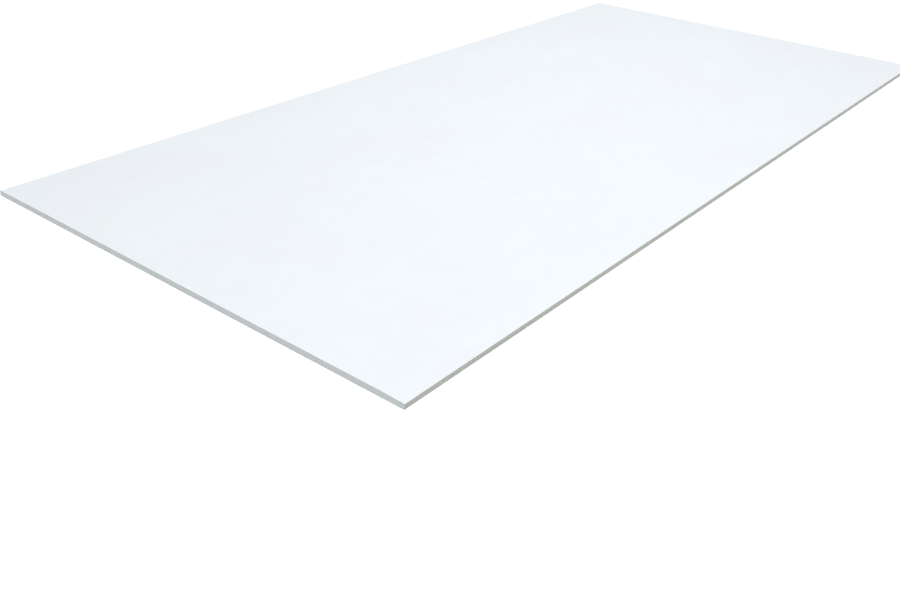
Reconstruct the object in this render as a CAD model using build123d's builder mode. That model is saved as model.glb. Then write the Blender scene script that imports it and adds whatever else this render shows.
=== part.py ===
from build123d import *
import os

# A drywall sheet with tapered long edges: a gypsum core between two papers, lying on its back.
# X runs along the length, Y across the width, and Z up from the back to the face.
# The origin is under the middle of the sheet, on the surface it lies on. All sizes are in mm.

# The finished sheet
board_length = 2400.0
board_width = 1200.0
board_thickness = 12.5

# The two papers
face_paper_thickness = 0.40
back_paper_thickness = 0.35

# The shallow recess along both long edges of the face, where a joint is taped and filled.
# A long radius blends it into the flat of the face.
taper_width = 50.0
taper_depth = 1.2
taper_blend_radius = 300.0

# The arrises of the core's long edges, which the paper follows
core_face_radius = 0.6
core_back_radius = 0.5

# The face paper is folded round each long edge and under the core as a flap.
# The back paper is laid over both flaps and stops short of the long edges.
flap_width = 25.0
back_paper_inset = 8.0

half_width = board_width / 2
core_half_width = half_width - face_paper_thickness
core_top = board_thickness - face_paper_thickness
core_edge_top = core_top - taper_depth
flap_top = back_paper_thickness + face_paper_thickness

# Sections lie across the board and are pushed along its length from this cut end to the other.
cut_end = Plane.YZ.offset(-board_length / 2)


# The core above the flaps: flat below, with upright long edges and a face that tapers to them
with BuildSketch() as core_section:
    with BuildLine():
        Polyline(
            (0, flap_top),
            (core_half_width, flap_top),
            (core_half_width, core_edge_top),
            (half_width - taper_width, core_top),
            (0, core_top),
        )
        mirror(about=Plane.YZ)
    make_face()
    across_face = core_section.vertices().group_by(Axis.Y)[-1].sort_by(Axis.X)
    fillet([across_face.first, across_face.last], radius=taper_blend_radius)
    face_arrises = core_section.vertices().filter_by_position(Axis.Y, core_edge_top, core_edge_top)
    fillet(face_arrises, radius=core_face_radius)
    across_back = core_section.vertices().group_by(Axis.Y)[0].sort_by(Axis.X)
    fillet([across_back.first, across_back.last], radius=core_back_radius)


# Gypsum core: between the flaps it reaches down to the back paper
with BuildPart() as gypsum_core:
    with BuildSketch(cut_end):
        add(core_section.sketch)
        with Locations((0, back_paper_thickness)):
            Rectangle(
                board_width - 2 * flap_width,
                core_top - back_paper_thickness - taper_depth,
                align=(Align.CENTER, Align.MIN),
            )
    extrude(amount=board_length)


# Face paper: one thickness all round the core's face, its long edges and the folded flaps
with BuildPart() as face_paper:
    with BuildSketch(cut_end):
        add(core_section.sketch)
        offset(amount=face_paper_thickness)
    extrude(amount=board_length)
    add(gypsum_core.part, mode=Mode.SUBTRACT)


# Back paper: flat over the core and the flaps
with BuildPart() as back_paper:
    with BuildSketch(Plane.XY):
        Rectangle(board_length, board_width - 2 * back_paper_inset)
    extrude(amount=back_paper_thickness)


os.makedirs("parts", exist_ok=True)

gypsum_core.part.label = "gypsum_core"
face_paper.part.label = "face_paper"
back_paper.part.label = "back_paper"

export_step(gypsum_core.part, "parts/gypsum_core.step")
export_step(face_paper.part, "parts/face_paper.step")
export_step(back_paper.part, "parts/back_paper.step")
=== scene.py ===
import math
import random

import bpy
import numpy as np
from mathutils import Matrix, Quaternion, Vector, noise


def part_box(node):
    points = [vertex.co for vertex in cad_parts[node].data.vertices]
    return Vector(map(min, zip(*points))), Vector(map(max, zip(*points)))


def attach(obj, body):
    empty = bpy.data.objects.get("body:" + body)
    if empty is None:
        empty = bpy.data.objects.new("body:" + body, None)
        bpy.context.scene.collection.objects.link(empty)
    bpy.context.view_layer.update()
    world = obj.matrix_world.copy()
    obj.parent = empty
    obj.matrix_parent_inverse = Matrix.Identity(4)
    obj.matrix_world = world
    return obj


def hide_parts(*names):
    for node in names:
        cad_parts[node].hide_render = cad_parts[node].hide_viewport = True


# A drywall sheet lying on its back: a foamed gypsum core, white-lined face paper wrapped round both
# long edges, and grey back paper. X runs along the length, Y across the width, Z up. Metres.

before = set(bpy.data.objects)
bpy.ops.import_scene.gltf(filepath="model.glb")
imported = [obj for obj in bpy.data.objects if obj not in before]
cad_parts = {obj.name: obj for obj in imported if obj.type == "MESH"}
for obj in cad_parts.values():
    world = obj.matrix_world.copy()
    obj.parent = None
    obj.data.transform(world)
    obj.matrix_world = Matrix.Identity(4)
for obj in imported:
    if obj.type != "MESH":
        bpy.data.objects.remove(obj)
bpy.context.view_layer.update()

MM = 0.001

# The sheet's own sizes, from the corners of its nodes
web_low, web_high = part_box("face_paper")
core_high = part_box("gypsum_core")[1]
back_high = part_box("back_paper")[1]
HALF_LENGTH = web_high.x
HALF_WIDTH = web_high.y
CORE_HALF_WIDTH = core_high.y
CORE_TOP = core_high.z
FACE_PAPER = web_high.z - core_high.z
BACK_PAPER = back_high.z
BACK_PAPER_HALF_WIDTH = back_high.y
FLAP_TOP = web_low.z + FACE_PAPER

# The recess along each long edge, and the core's radii: taper to flat, face arris, back arris
TAPER_WIDTH = 50 * MM
TAPER_DEPTH = 1.2 * MM
CORE_RADII = (300 * MM, 0.6 * MM, 0.5 * MM)
FLAP_WIDTH = 25 * MM
ARRIS_TOP = web_high.z - TAPER_DEPTH
ARRIS_RADIUS = CORE_RADII[1] + FACE_PAPER

# How finely the two papers are divided across the board, round a radius and along the board
PAPER_SPACING = 2.5 * MM
ARC_STEPS = 6
BACK_PAPER_STRIPS = 96
SPANS = 48
STATIONS = [HALF_LENGTH * (2 * i / SPANS - 1) for i in range(SPANS + 1)]

# How far the knife leaves the papers ragged, and the size of the rags in millimetres
RAGGED_CUT = 0.25 * MM
RAG_SIZE = (2, 4, 4)

# How finely the core's cut ends are divided across the board, over the thickness and at an arris
CUT_GRID = 0.75 * MM
CUT_LAYERS = 17
CUT_ARRIS_DEGREES = (0, 20, 40, 60, 80, 90)

# The large air voids that each cut end opens
AIR_VOIDS = 36
VOID_SEED = 12

# A fold sharper than this is shaded as an arris.
SHARP_FOLD = math.radians(40)

# How far apart in the noise two seeds lie
SEED_STEP = (31.7, 17.3, 7.1)

# The Mix node's sockets for colours go by number, because those for other kinds share their names.
UNDER, OVER, MIXED = 6, 7, 2

# How strongly paper fibre and set gypsum bend light
CELLULOSE_IOR = 1.47
GYPSUM_IOR = 1.52


# Nodes

def linear(hex_colour):
    """An sRGB hex colour as linear red, green, blue and alpha."""
    channels = [int(hex_colour[i:i + 2], 16) / 255 for i in (1, 3, 5)]
    return [c / 12.92 if c <= 0.04045 else ((c + 0.055) / 1.055) ** 2.4 for c in channels] + [1]


def add(tree, kind, inputs=None, **settings):
    """Adds a node. Each input is a value, a hex colour, or another node's output to link to."""
    node = tree.nodes.new(kind)
    for name, value in settings.items():
        setattr(node, name, value)
    for socket, value in (inputs or {}).items():
        if isinstance(value, bpy.types.NodeSocket):
            tree.links.new(value, node.inputs[socket])
        else:
            node.inputs[socket].default_value = linear(value) if isinstance(value, str) else value
    return node


def new_material(name):
    """An empty material with its output, and the object's own coordinates in metres."""
    material = bpy.data.materials.new(name)
    material.use_nodes = True
    tree = material.node_tree
    tree.nodes.clear()
    output = add(tree, "ShaderNodeOutputMaterial")
    place = add(tree, "ShaderNodeTexCoord").outputs["Object"]
    return material, tree, output, place


def per_metre(x_mm, y_mm, z_mm):
    """How many repeats a pattern has in a metre, for repeats of these sizes."""
    return (1 / (x_mm * MM), 1 / (y_mm * MM), 1 / (z_mm * MM))


def pattern(tree, place, size_mm, detail=2.0, roughness=0.5):
    """Noise whose largest lumps have this size in millimetres along X, Y and Z. Each step of
    detail adds lumps of half the size."""
    scaled = add(tree, "ShaderNodeMapping", {"Vector": place, "Scale": per_metre(*size_mm)})
    settings = {"Scale": 1.0, "Detail": detail, "Roughness": roughness}
    return add(tree, "ShaderNodeTexNoise", {"Vector": scaled.outputs[0], **settings}).outputs["Fac"]


def tint(tree, under, over, varying, low, high, most=1.0):
    """Lays one colour over another, from none of it where a pattern is low to its most where the
    pattern is high."""
    share = add(
        tree,
        "ShaderNodeMapRange",
        {"Value": varying, "From Min": low, "From Max": high, "To Max": most},
    )
    colours = {"Factor": share.outputs[0], UNDER: under, OVER: over}
    return add(tree, "ShaderNodeMix", colours, data_type="RGBA").outputs[MIXED]


def crossed_fibres(tree, place, long_mm, wide_mm, degrees):
    """Fibres of this length and width that lie at a few angles to the web, as one height."""
    layers = []
    for angle in degrees:
        turned = add(tree, "ShaderNodeVectorRotate", {"Vector": place, "Angle": math.radians(angle)})
        layers.append(pattern(tree, turned.outputs[0], (long_mm, wide_mm, wide_mm), roughness=0.6))
    height = layers[0]
    for layer in layers[1:]:
        height = add(tree, "ShaderNodeMath", {0: height, 1: layer}, operation="MAXIMUM").outputs[0]
    return height


def pores(tree, place, spacing_mm, widest):
    """Pores this far apart, 1 in their middle and 0 outside. The widest has a radius that is given
    as a share of the spacing."""
    scaled = add(tree, "ShaderNodeMapping", {"Vector": place, "Scale": per_metre(*[spacing_mm] * 3)})
    # The place wanders by up to a third of the spacing, which makes the rims uneven.
    wander = add(tree, "ShaderNodeTexNoise", {"Vector": scaled.outputs[0], "Scale": 2.5, "Detail": 2.0})
    bent = add(
        tree,
        "ShaderNodeVectorMath",
        {0: wander.outputs["Color"], 1: (0.35, 0.35, 0.35), 2: scaled.outputs[0]},
        operation="MULTIPLY_ADD",
    )
    cells = add(tree, "ShaderNodeTexVoronoi", {"Vector": bent.outputs[0], "Scale": 1.0})
    # A high power of chance leaves most pores far smaller than the widest.
    chance = add(tree, "ShaderNodeSeparateColor", {0: cells.outputs["Color"]}).outputs[0]
    size = add(tree, "ShaderNodeMath", {0: chance, 1: 2.5}, operation="POWER").outputs[0]
    past_rim = add(
        tree,
        "ShaderNodeMath",
        {0: size, 1: -widest, 2: cells.outputs["Distance"]},
        operation="MULTIPLY_ADD",
    ).outputs[0]
    inside = {"Value": past_rim, "From Min": 0.03, "From Max": -0.3}
    return add(tree, "ShaderNodeMapRange", inside).outputs[0]


# Materials

def white_lined_paper():
    """Multi-ply board liner, calendered: a smooth matt white top ply that ends on the arris, with
    the warm grey of the plies below on the wrapped edge. It shows faint clouds and long fibres."""
    material, tree, output, place = new_material("white_lined_paper_calendered")
    # Paper clouds are 5 to 45 mm across, and the white leans to cyan or to lavender in patches of
    # 50 to 400 mm. Fibres are 0.03 mm thick, and are drawn 0.6 mm wide so that they show.
    clouds = pattern(tree, place, (45, 30, 30), detail=3.0)
    patches = pattern(tree, place, (400, 260, 260), detail=3.0)
    fibres = crossed_fibres(tree, place, 7.0, 0.6, (0, 14, -18))
    cyan_white = tint(tree, "#EEF4F7", "#F0F6F9", clouds, 0.3, 0.7)
    lavender_white = tint(tree, "#EEF2F7", "#F0F4F9", clouds, 0.3, 0.7)
    lining = tint(tree, cyan_white, lavender_white, patches, 0.35, 0.65)
    lining = tint(tree, lining, "#E6ECEF", fibres, 0.45, 0.75, most=0.14)
    # The recycled plies are mottled in flocs 2 to 7 mm across.
    flocs = pattern(tree, place, (7, 3, 3), detail=1.0)
    plies = tint(tree, "#C8CCC4", "#DEE2DA", fibres, 0.3, 0.7)
    plies = tint(tree, plies, "#D3D5CC", clouds, 0.35, 0.65, most=0.4)
    plies = tint(tree, plies, "#B9BDB5", flocs, 0.5, 0.75, most=0.55)
    plies = tint(tree, plies, "#EDF0E8", flocs, 0.5, 0.25, most=0.45)
    # The white ends part of the way down the arris, and its end wanders up and down by 0.2 mm.
    height = add(tree, "ShaderNodeSeparateXYZ", {0: place}).outputs["Z"]
    torn = pattern(tree, place, (6, 0.8, 0.8), detail=3.0, roughness=0.6)
    wander = add(tree, "ShaderNodeMapRange", {"Value": torn, "To Min": -0.2 * MM, "To Max": 0.2 * MM})
    coat = add(tree, "ShaderNodeMath", {0: height, 1: wander.outputs[0]}, operation="ADD").outputs[0]
    coat_end = ARRIS_TOP - 0.6 * ARRIS_RADIUS
    colour = tint(tree, lining, plies, coat, coat_end + 0.05 * MM, coat_end - 0.05 * MM)
    roughness = add(
        tree,
        "ShaderNodeMapRange",
        {"Value": clouds, "From Min": 0.3, "From Max": 0.7, "To Min": 0.62, "To Max": 0.72},
    )
    grain = add(tree, "ShaderNodeBump", {"Height": fibres, "Strength": 0.35, "Distance": 0.05 * MM})
    shader = add(
        tree,
        "ShaderNodeBsdfPrincipled",
        {
            "Base Color": colour,
            "Roughness": roughness.outputs[0],
            "Specular IOR Level": 0.3,
            "IOR": CELLULOSE_IOR,
            "Normal": grain.outputs[0],
        },
    )
    tree.links.new(shader.outputs[0], output.inputs[0])
    return material


def cut_paper_edge():
    """The liner's own thickness at a knife cut: grey recycled plies, darker than either side, partly
    by their own grey and partly by painted shade of the thin dark lines at the cut. Its plies are
    0.08 mm thick."""
    material, tree, output, place = new_material("recycled_paper_knife_cut")
    plies = pattern(tree, place, (4, 5, 0.08), detail=3.0, roughness=0.7)
    fuzz = add(tree, "ShaderNodeBump", {"Height": plies, "Strength": 0.8, "Distance": 0.1 * MM})
    shader = add(
        tree,
        "ShaderNodeBsdfPrincipled",
        {
            # These greys are partly the plies' own colour and partly painted shade of the dark line at
            # the cut.
            "Base Color": tint(tree, "#77776F", "#A5A59D", plies, 0.3, 0.7),
            "Roughness": 0.95,
            "Specular IOR Level": 0.2,
            "IOR": CELLULOSE_IOR,
            "Normal": fuzz.outputs[0],
        },
    )
    tree.links.new(shader.outputs[0], output.inputs[0])
    return material


def cut_gypsum():
    """Set plaster full of foam bubbles, cut by a knife: chalky, matt and cool grey-white. It has
    pores of 0.1 to 2 mm, greyed inside with painted shade, crushed paler specks, and drag marks
    along the cut."""
    material, tree, output, place = new_material("foamed_gypsum_knife_cut")
    clouds = pattern(tree, place, (30, 22, 6), detail=3.0)
    drag = pattern(tree, place, (30, 14, 0.5), detail=3.0, roughness=0.6)
    grit = pattern(tree, place, (0.35, 0.35, 0.35), detail=3.0, roughness=0.7)
    crushed = pattern(tree, place, (2.2, 2.2, 0.9), roughness=0.6)
    body = tint(tree, "#D7DEDF", "#E0E7E8", clouds, 0.3, 0.7)
    body = tint(tree, body, "#D0D7D8", drag, 0.35, 0.65, most=0.6)
    body = tint(tree, body, "#EDF2F2", crushed, 0.58, 0.68, most=0.8)
    body = tint(tree, body, "#C6CDCE", grit, 0.65, 0.35, most=0.5)
    # Foam bubbles lie 0.7 mm apart and are up to 0.9 mm across, and the few large ones up to 2 mm.
    foam = pores(tree, place, 0.7, 0.6)
    bubbles = pores(tree, place, 2.4, 0.4)
    # The greys laid on the foam pores and the large bubbles are painted shade in their hollows.
    colour = tint(tree, body, "#9CA3A3", foam, 0, 1, most=0.9)
    colour = tint(tree, colour, "#8B9291", bubbles, 0, 0.7)
    holes = add(tree, "ShaderNodeMath", {0: foam, 1: bubbles}, operation="MAXIMUM")
    pits = add(
        tree,
        "ShaderNodeBump",
        {"Height": holes.outputs[0], "Strength": 0.8, "Distance": 0.3 * MM},
        invert=True,
    )
    surface = add(
        tree,
        "ShaderNodeBump",
        {"Height": grit, "Strength": 0.7, "Distance": 0.15 * MM, "Normal": pits.outputs[0]},
    )
    shader = add(
        tree,
        "ShaderNodeBsdfPrincipled",
        {
            "Base Color": colour,
            "Roughness": 0.92,
            "Specular IOR Level": 0.25,
            "IOR": GYPSUM_IOR,
            "Normal": surface.outputs[0],
        },
    )
    tree.links.new(shader.outputs[0], output.inputs[0])
    return material


def grey_liner():
    """Uncoated recycled back liner: matt and cloudy, with pale and dark fibres that lie mostly
    along the web. They are drawn 0.5 mm wide, many times their own width, so that they show."""
    material, tree, output, place = new_material("recycled_liner_uncoated")
    clouds = pattern(tree, place, (36, 22, 22), detail=4.0, roughness=0.6)
    mottle = pattern(tree, place, (3.5, 2.2, 2.2), detail=3.0, roughness=0.6)
    pale = crossed_fibres(tree, place, 5.0, 0.5, (0, 24, -31))
    dark = crossed_fibres(tree, place, 3.2, 0.5, (9, -17, 52))
    colour = tint(tree, "#A8A397", "#B7B2A7", clouds, 0.3, 0.7)
    colour = tint(tree, colour, "#9F9A8E", mottle, 0.35, 0.65, most=0.5)
    colour = tint(tree, colour, "#C9C5BB", pale, 0.62, 0.72, most=0.5)
    colour = tint(tree, colour, "#77736A", dark, 0.70, 0.78, most=0.6)
    grain = add(tree, "ShaderNodeBump", {"Height": pale, "Strength": 0.5, "Distance": 0.08 * MM})
    shader = add(
        tree,
        "ShaderNodeBsdfPrincipled",
        {
            "Base Color": colour,
            "Roughness": 0.85,
            "Specular IOR Level": 0.3,
            "IOR": CELLULOSE_IOR,
            "Normal": grain.outputs[0],
        },
    )
    tree.links.new(shader.outputs[0], output.inputs[0])
    return material


# The board's section

def rounded_line(corners, radii):
    """Points along straight runs whose inner corners are rounded to the radii given."""
    corners = [Vector(c) for c in corners]
    line, start = [], corners[0]
    for before, corner, after, radius in zip(corners, corners[1:], corners[2:], radii):
        u, v = (corner - before).normalized(), (after - corner).normalized()
        turn = u.angle(v)
        side = (v - u * math.cos(turn)) / math.sin(turn)
        arc_start = corner - u * radius * math.tan(turn / 2)
        steps = max(1, round((arc_start - start).length / PAPER_SPACING))
        line += [start.lerp(arc_start, i / steps) for i in range(steps)]
        for i in range(ARC_STEPS):
            a = turn * i / ARC_STEPS
            line.append(arc_start + radius * (math.sin(a) * u + (1 - math.cos(a)) * side))
        start = corner + v * radius * math.tan(turn / 2)
    steps = max(1, round((corners[-1] - start).length / PAPER_SPACING))
    return line + [start.lerp(corners[-1], i / steps) for i in range(steps + 1)]


def core_outline(outside):
    """Half of the wrapped core's section, this far outside it, from the middle of its face over the
    recess, down the long edge and under to the inner end of the flap."""
    side, top, flap = CORE_HALF_WIDTH + outside, CORE_TOP + outside, FLAP_TOP - outside
    corners = [
        (0, top),
        (HALF_WIDTH - TAPER_WIDTH, top),
        (side, top - TAPER_DEPTH),
        (side, flap),
        (HALF_WIDTH - FLAP_WIDTH, flap),
    ]
    return rounded_line(corners, [r + outside for r in CORE_RADII])


def mirrored(half):
    """A half section and its mirror image, as one line from one flap's inner end to the other."""
    return [Vector((-p.x, p.y)) for p in reversed(half[1:])] + half


def lumps(place, size_mm, seed):
    """Smooth noise from 0 to 1, with lumps of this size in millimetres. A seed is another patch."""
    sides = zip(place, size_mm, SEED_STEP)
    return 0.5 + 0.5 * noise.noise([p / (size * MM) + step * seed for p, size, step in sides])


def mesh_piece(name, points, faces, material):
    """A smooth mesh with sharp arrises, which is a piece of the sheet."""
    mesh = bpy.data.meshes.new(name)
    mesh.from_pydata([tuple(p) for p in points], [], faces)
    mesh.materials.append(material)
    mesh.shade_smooth()
    mesh.set_sharp_from_angle(angle=SHARP_FOLD)
    piece = bpy.data.objects.new(name, mesh)
    bpy.context.scene.collection.objects.link(piece)
    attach(piece, "root")
    return piece


# The papers

def web_points(outer, inner, sink, seed):
    """A web's outer points and then its inner ones, section by section along the board. The outer
    side sinks by sink(x, point), and the two cut ends are a little ragged."""
    points = []
    for outside in (True, False):
        for x in STATIONS:
            at_cut = abs(x) == HALF_LENGTH
            for p, q in zip(outer, inner):
                point = p + (q - p).normalized() * sink(x, p) if outside else q
                ragged = RAGGED_CUT * lumps((x, p.x, p.y), RAG_SIZE, seed) if at_cut else 0
                points.append((x - math.copysign(ragged, x), point.x, point.y))
    return points


def make_web(name, outer, inner, sink, seed, material, cut_material):
    """A web of paper along the board, closed from its outer to its inner line."""
    rows = len(outer)
    # An inner point comes this many after the outer point that it lies under.
    inward = len(STATIONS) * rows
    faces, cut = [], []
    for i in range(SPANS):
        first, last = i * rows, (i + 1) * rows - 1
        for a in range(first, last):
            b = a + inward
            faces.append((a, a + rows, a + rows + 1, a + 1))
            faces.append((b, b + 1, b + rows + 1, b + rows))
        for a, turn in ((first, -1), (last, 1)):
            faces.append((a, a + rows, a + rows + inward, a + inward)[::turn])
    for start, turn in ((0, 1), (inward - rows, -1)):
        for a in range(start, start + rows - 1):
            cut.append((a, a + 1, a + 1 + inward, a + inward)[::turn])
    piece = mesh_piece(name, web_points(outer, inner, sink, seed), faces + cut, material)
    piece.data.materials.append(cut_material)
    for face in piece.data.polygons[len(faces):]:
        face.material_index = 1
    return piece


def make_face_paper(material, cut_material):
    """The face paper, from one folded flap over the face to the other. The flat of the face
    cockles by a few hundredths of a millimetre, and the pressed edges wander a little more."""
    outer, inner = (mirrored(core_outline(outside)) for outside in (FACE_PAPER, 0))

    def sink(x, point):
        depth = 0.12 * MM if point.y < ARRIS_TOP else 0.04 * MM
        return depth * lumps((x, *point), (220, 60, 9), seed=1)

    piece = make_web("face_paper_web", outer, inner, sink, 1, material, cut_material)
    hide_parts("face_paper")


def make_back_paper(material, cut_material):
    """The back paper, flat under the core and the two flaps, with its slit long edges."""
    strips = BACK_PAPER_STRIPS
    across = [BACK_PAPER_HALF_WIDTH * (1 - 2 * i / strips) for i in range(strips + 1)]
    outer = [Vector((y, 0)) for y in across]
    inner = [Vector((y, BACK_PAPER)) for y in across]

    def sink(x, point):
        return 0.03 * MM * lumps((x, *point), (150, 40, 9), seed=2)

    piece = make_web("back_paper_web", outer, inner, sink, 2, material, cut_material)
    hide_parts("back_paper")


# The core

def core_columns():
    """Where the core's cut end has its columns across the width, and how low and high each is."""
    outline = core_outline(0)
    widest = max(p.x for p in outline)
    upper = [p for p in outline if p.y > CORE_TOP / 2]
    lower = [p for p in outline if p.y <= CORE_TOP / 2][::-1]
    arris = [widest - CORE_RADII[1] * (1 - math.sin(math.radians(a))) for a in CUT_ARRIS_DEGREES]
    across = list(np.arange(0, arris[0], CUT_GRID))[:-1] + arris
    high = np.interp(across, [p.x for p in upper], [p.y for p in upper])
    low = np.interp(across, [p.x for p in lower], [p.y for p in lower], left=BACK_PAPER)
    half = list(zip(across, low, high))
    return [(-y, a, b) for y, a, b in reversed(half[1:])] + half


def air_voids(draw):
    """The large air voids that a cut end opens: each one's middle across and up, and its radius."""
    voids = []
    for _ in range(AIR_VOIDS):
        y = draw.uniform(-CORE_HALF_WIDTH, CORE_HALF_WIDTH)
        z = draw.uniform(2.5, 10.5) * MM
        radius = draw.uniform(0.9, 1.6) * MM
        voids.append((y, z, radius))
    return voids


def cut_depth(x, y, z, low, high, voids):
    """How far the knife's cut lies under the sheet's end here. It is summed in millimetres."""
    here = (x, y, z)
    drag_marks = 0.22 * lumps(here, (22, 22, 1.6), seed=3)
    roughness = 0.2 * lumps(here, (1.7, 1.7, 1.7), seed=4)
    torn_spots = 0.8 * max(0, lumps(here, (7, 7, 3.5), seed=6) - 0.62)
    from_arris = min(z - low, high - z) / MM
    crumbled_arris = 0.5 * max(0, 1 - from_arris / 1.5) * lumps(here, (9, 5, 5), seed=5) ** 2
    depth = 0.1 + drag_marks + roughness + torn_spots + crumbled_arris
    for middle_y, middle_z, radius in voids:
        uneven = 0.5 * lumps(here, (1.5, 1.5, 1.5), seed=7) - 0.25
        near = math.hypot(y - middle_y, z - middle_z) / radius + uneven
        if near < 1:
            depth += 0.6 * radius / MM * math.sqrt(1 - near)
    return depth * MM


def make_core(material):
    """The gypsum core as one closed slab. Both cut ends are modelled, and the rest is under paper."""
    draw = random.Random(VOID_SEED)
    columns = core_columns()
    count = len(columns)
    points, faces = [], []
    for end in (-1, 1):
        voids = air_voids(draw)
        for y, low, high in columns:
            close = [v for v in voids if abs(v[0] - y) < v[2]]
            for j in range(CUT_LAYERS):
                z = low + (high - low) * j / (CUT_LAYERS - 1)
                depth = cut_depth(end * HALF_LENGTH, y, z, low, high, close)
                points.append((end * (HALF_LENGTH - depth), y, z))
    far = count * CUT_LAYERS
    for i in range(count - 1):
        for j in range(CUT_LAYERS - 1):
            a = i * CUT_LAYERS + j
            quad = (a, a + 1, a + 1 + CUT_LAYERS, a + CUT_LAYERS)
            faces += [quad, tuple(far + k for k in quad[::-1])]
    # Round the cut end: along the back, up one long edge, back along the face and down the other
    last = CUT_LAYERS - 1
    border = [i * CUT_LAYERS for i in range(count)]
    border += [(count - 1) * CUT_LAYERS + j for j in range(1, CUT_LAYERS)]
    border += [i * CUT_LAYERS + last for i in range(count - 2, -1, -1)]
    border += list(range(last - 1, 0, -1))
    for a, b in zip(border, border[1:] + border[:1]):
        faces.append((a, b, far + b, far + a))
    piece = mesh_piece("gypsum_core_slab", points, faces, material)
    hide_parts("gypsum_core")


# The studio

# The picture's size in pixels
IMAGE_WIDTH = 900
IMAGE_HEIGHT = 598

# How far the floor runs each way from the sheet's middle
FLOOR_REACH = 60

# The light on the middle of the face, as shares of a level at which a colour renders about as it is
# written: from the pale room, from the sun, and from the soft box if it were small and right
# overhead. It is long and hangs to one side, so about half of its share arrives.
ROOM_SHARE = 0.30
SUN_SHARE = 0.54
BOX_SHARE = 0.38

SUN_PLACE = Vector((-0.66, -0.36, 1))
SUN_SPREAD = math.radians(45)

# The soft box hangs level over the near half of the sheet, with its length roughly along the view.
BOX_PLACE = Vector((-0.437, -0.459, 1.675))
BOX_LENGTH = 4.0
BOX_WIDTH = 0.8
BOX_TURN = math.radians(24.5)


def seen_directly(tree):
    """1 for the rays that show the background, straight or in a reflection, and 0 for its light."""
    path = add(tree, "ShaderNodeLightPath")
    seen = path.outputs["Is Camera Ray"]
    for ray in ("Is Glossy Ray", "Is Transmission Ray"):
        either = {0: seen, 1: path.outputs[ray]}
        seen = add(tree, "ShaderNodeMath", either, operation="MAXIMUM").outputs[0]
    return seen


def make_floor():
    """A plain pale floor: white to the camera, a little darker to the light that it bounces."""
    material, tree, output, place = new_material("studio_floor")
    seen = seen_directly(tree)
    greys = {"Factor": seen, UNDER: "#B8B8B8", OVER: "#F2F2F2"}
    grey = add(tree, "ShaderNodeMix", greys, data_type="RGBA").outputs[MIXED]
    surface = add(tree, "ShaderNodeBsdfDiffuse", {"Color": grey})
    # What is seen is lifted a little, and further out more, because the soft box falls off there.
    away = add(tree, "ShaderNodeVectorMath", {0: place}, operation="LENGTH").outputs["Value"]
    outward = add(
        tree,
        "ShaderNodeMapRange",
        {"Value": away, "From Min": 0.8, "From Max": 2.2, "To Min": 0.15, "To Max": 0.30},
    )
    strength = add(tree, "ShaderNodeMath", {0: seen, 1: outward.outputs[0]}, operation="MULTIPLY")
    lift = add(tree, "ShaderNodeEmission", {"Strength": strength.outputs[0]})
    both = add(tree, "ShaderNodeAddShader", {0: surface.outputs[0], 1: lift.outputs[0]})
    tree.links.new(both.outputs[0], output.inputs[0])
    mesh = bpy.data.meshes.new("floor")
    corners = [(FLOOR_REACH * x, FLOOR_REACH * y, 0) for x, y in ((-1, -1), (1, -1), (1, 1), (-1, 1))]
    mesh.from_pydata(corners, [], [(0, 1, 2, 3)])
    mesh.materials.append(material)
    floor = bpy.data.objects.new("floor", mesh)
    bpy.context.scene.collection.objects.link(floor)


def make_room():
    """A white room all round, which lights the sheet by its share."""
    world = bpy.data.worlds.new("studio")
    bpy.context.scene.world = world
    world.use_nodes = True
    tree = world.node_tree
    tree.nodes.clear()
    strength = add(tree, "ShaderNodeMapRange", {"Value": seen_directly(tree), "To Min": ROOM_SHARE})
    light = add(tree, "ShaderNodeBackground", {"Color": "#FFFFFF", "Strength": strength.outputs[0]})
    add(tree, "ShaderNodeOutputWorld", {"Surface": light.outputs[0]})


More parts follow.
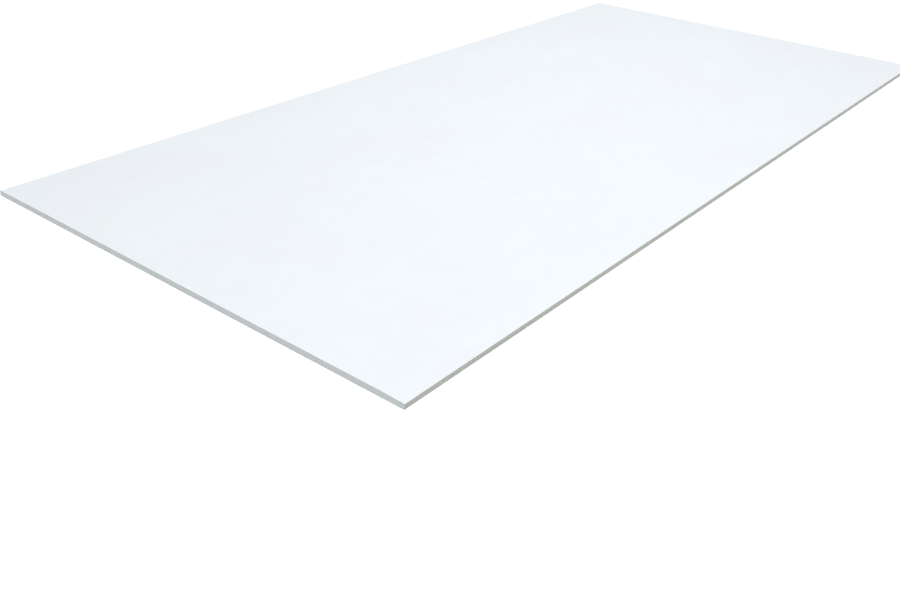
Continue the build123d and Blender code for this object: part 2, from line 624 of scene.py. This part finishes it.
def lamp(name, kind, place, aim, turn=0.0, **settings):
    """A lamp at a place, aimed at what it lights and turned about its own beam."""
    light = bpy.data.lights.new(name, kind)
    for key, value in settings.items():
        setattr(light, key, value)
    holder = bpy.data.objects.new(name, light)
    holder.location = place
    aimed = (Vector(aim) - Vector(place)).to_track_quat("-Z", "Y")
    holder.rotation_euler = (aimed @ Quaternion((0, 0, 1), turn)).to_euler()
    bpy.context.scene.collection.objects.link(holder)


def make_lamps():
    """A very wide soft sun high behind the camera, and one long soft box over the sheet. Full light
    on a level surface is an irradiance of pi."""
    sun_power = SUN_SHARE * math.pi / SUN_PLACE.normalized().z
    lamp("sun", "SUN", SUN_PLACE, (0, 0, 0), energy=sun_power, angle=SUN_SPREAD)
    # A small flat lamp of power P lights what lies h below it with P / (pi h^2).
    box_power = BOX_SHARE * math.pi * math.pi * BOX_PLACE.z ** 2
    lamp(
        "soft_box",
        "AREA",
        BOX_PLACE,
        (BOX_PLACE.x, BOX_PLACE.y, 0),
        BOX_TURN,
        energy=box_power,
        shape="RECTANGLE",
        size=BOX_LENGTH,
        size_y=BOX_WIDTH,
    )


def make_camera():
    """The photograph's own view, fitted to the edges and the near corners of the sheet's face."""
    eye = Vector((-2.0843, -1.4404, 0.9111))
    forward = Vector((0.69441, 0.52982, -0.48692)).normalized()
    up = Vector((0.36733, 0.32086, 0.87299)).normalized()
    right = forward.cross(up).normalized()
    focal_px = 976.86
    centre_px = (494.41, 279.49)
    camera = bpy.data.cameras.new("camera")
    camera.sensor_width = 36
    camera.lens = camera.sensor_width * focal_px / IMAGE_WIDTH
    camera.shift_x = (IMAGE_WIDTH / 2 - centre_px[0]) / IMAGE_WIDTH
    camera.shift_y = (centre_px[1] - IMAGE_HEIGHT / 2) / IMAGE_WIDTH
    camera.clip_start = 0.05
    camera.clip_end = 200
    turned = Matrix((right, right.cross(forward), -forward)).transposed()
    holder = bpy.data.objects.new("camera", camera)
    holder.matrix_world = Matrix.Translation(eye) @ turned.to_4x4()
    bpy.context.scene.collection.objects.link(holder)
    bpy.context.scene.camera = holder


cut_paper = cut_paper_edge()
make_face_paper(white_lined_paper(), cut_paper)
make_back_paper(grey_liner(), cut_paper)
make_core(cut_gypsum())
make_floor()
make_room()
make_lamps()
make_camera()
bpy.context.scene.view_settings.view_transform = "Standard"
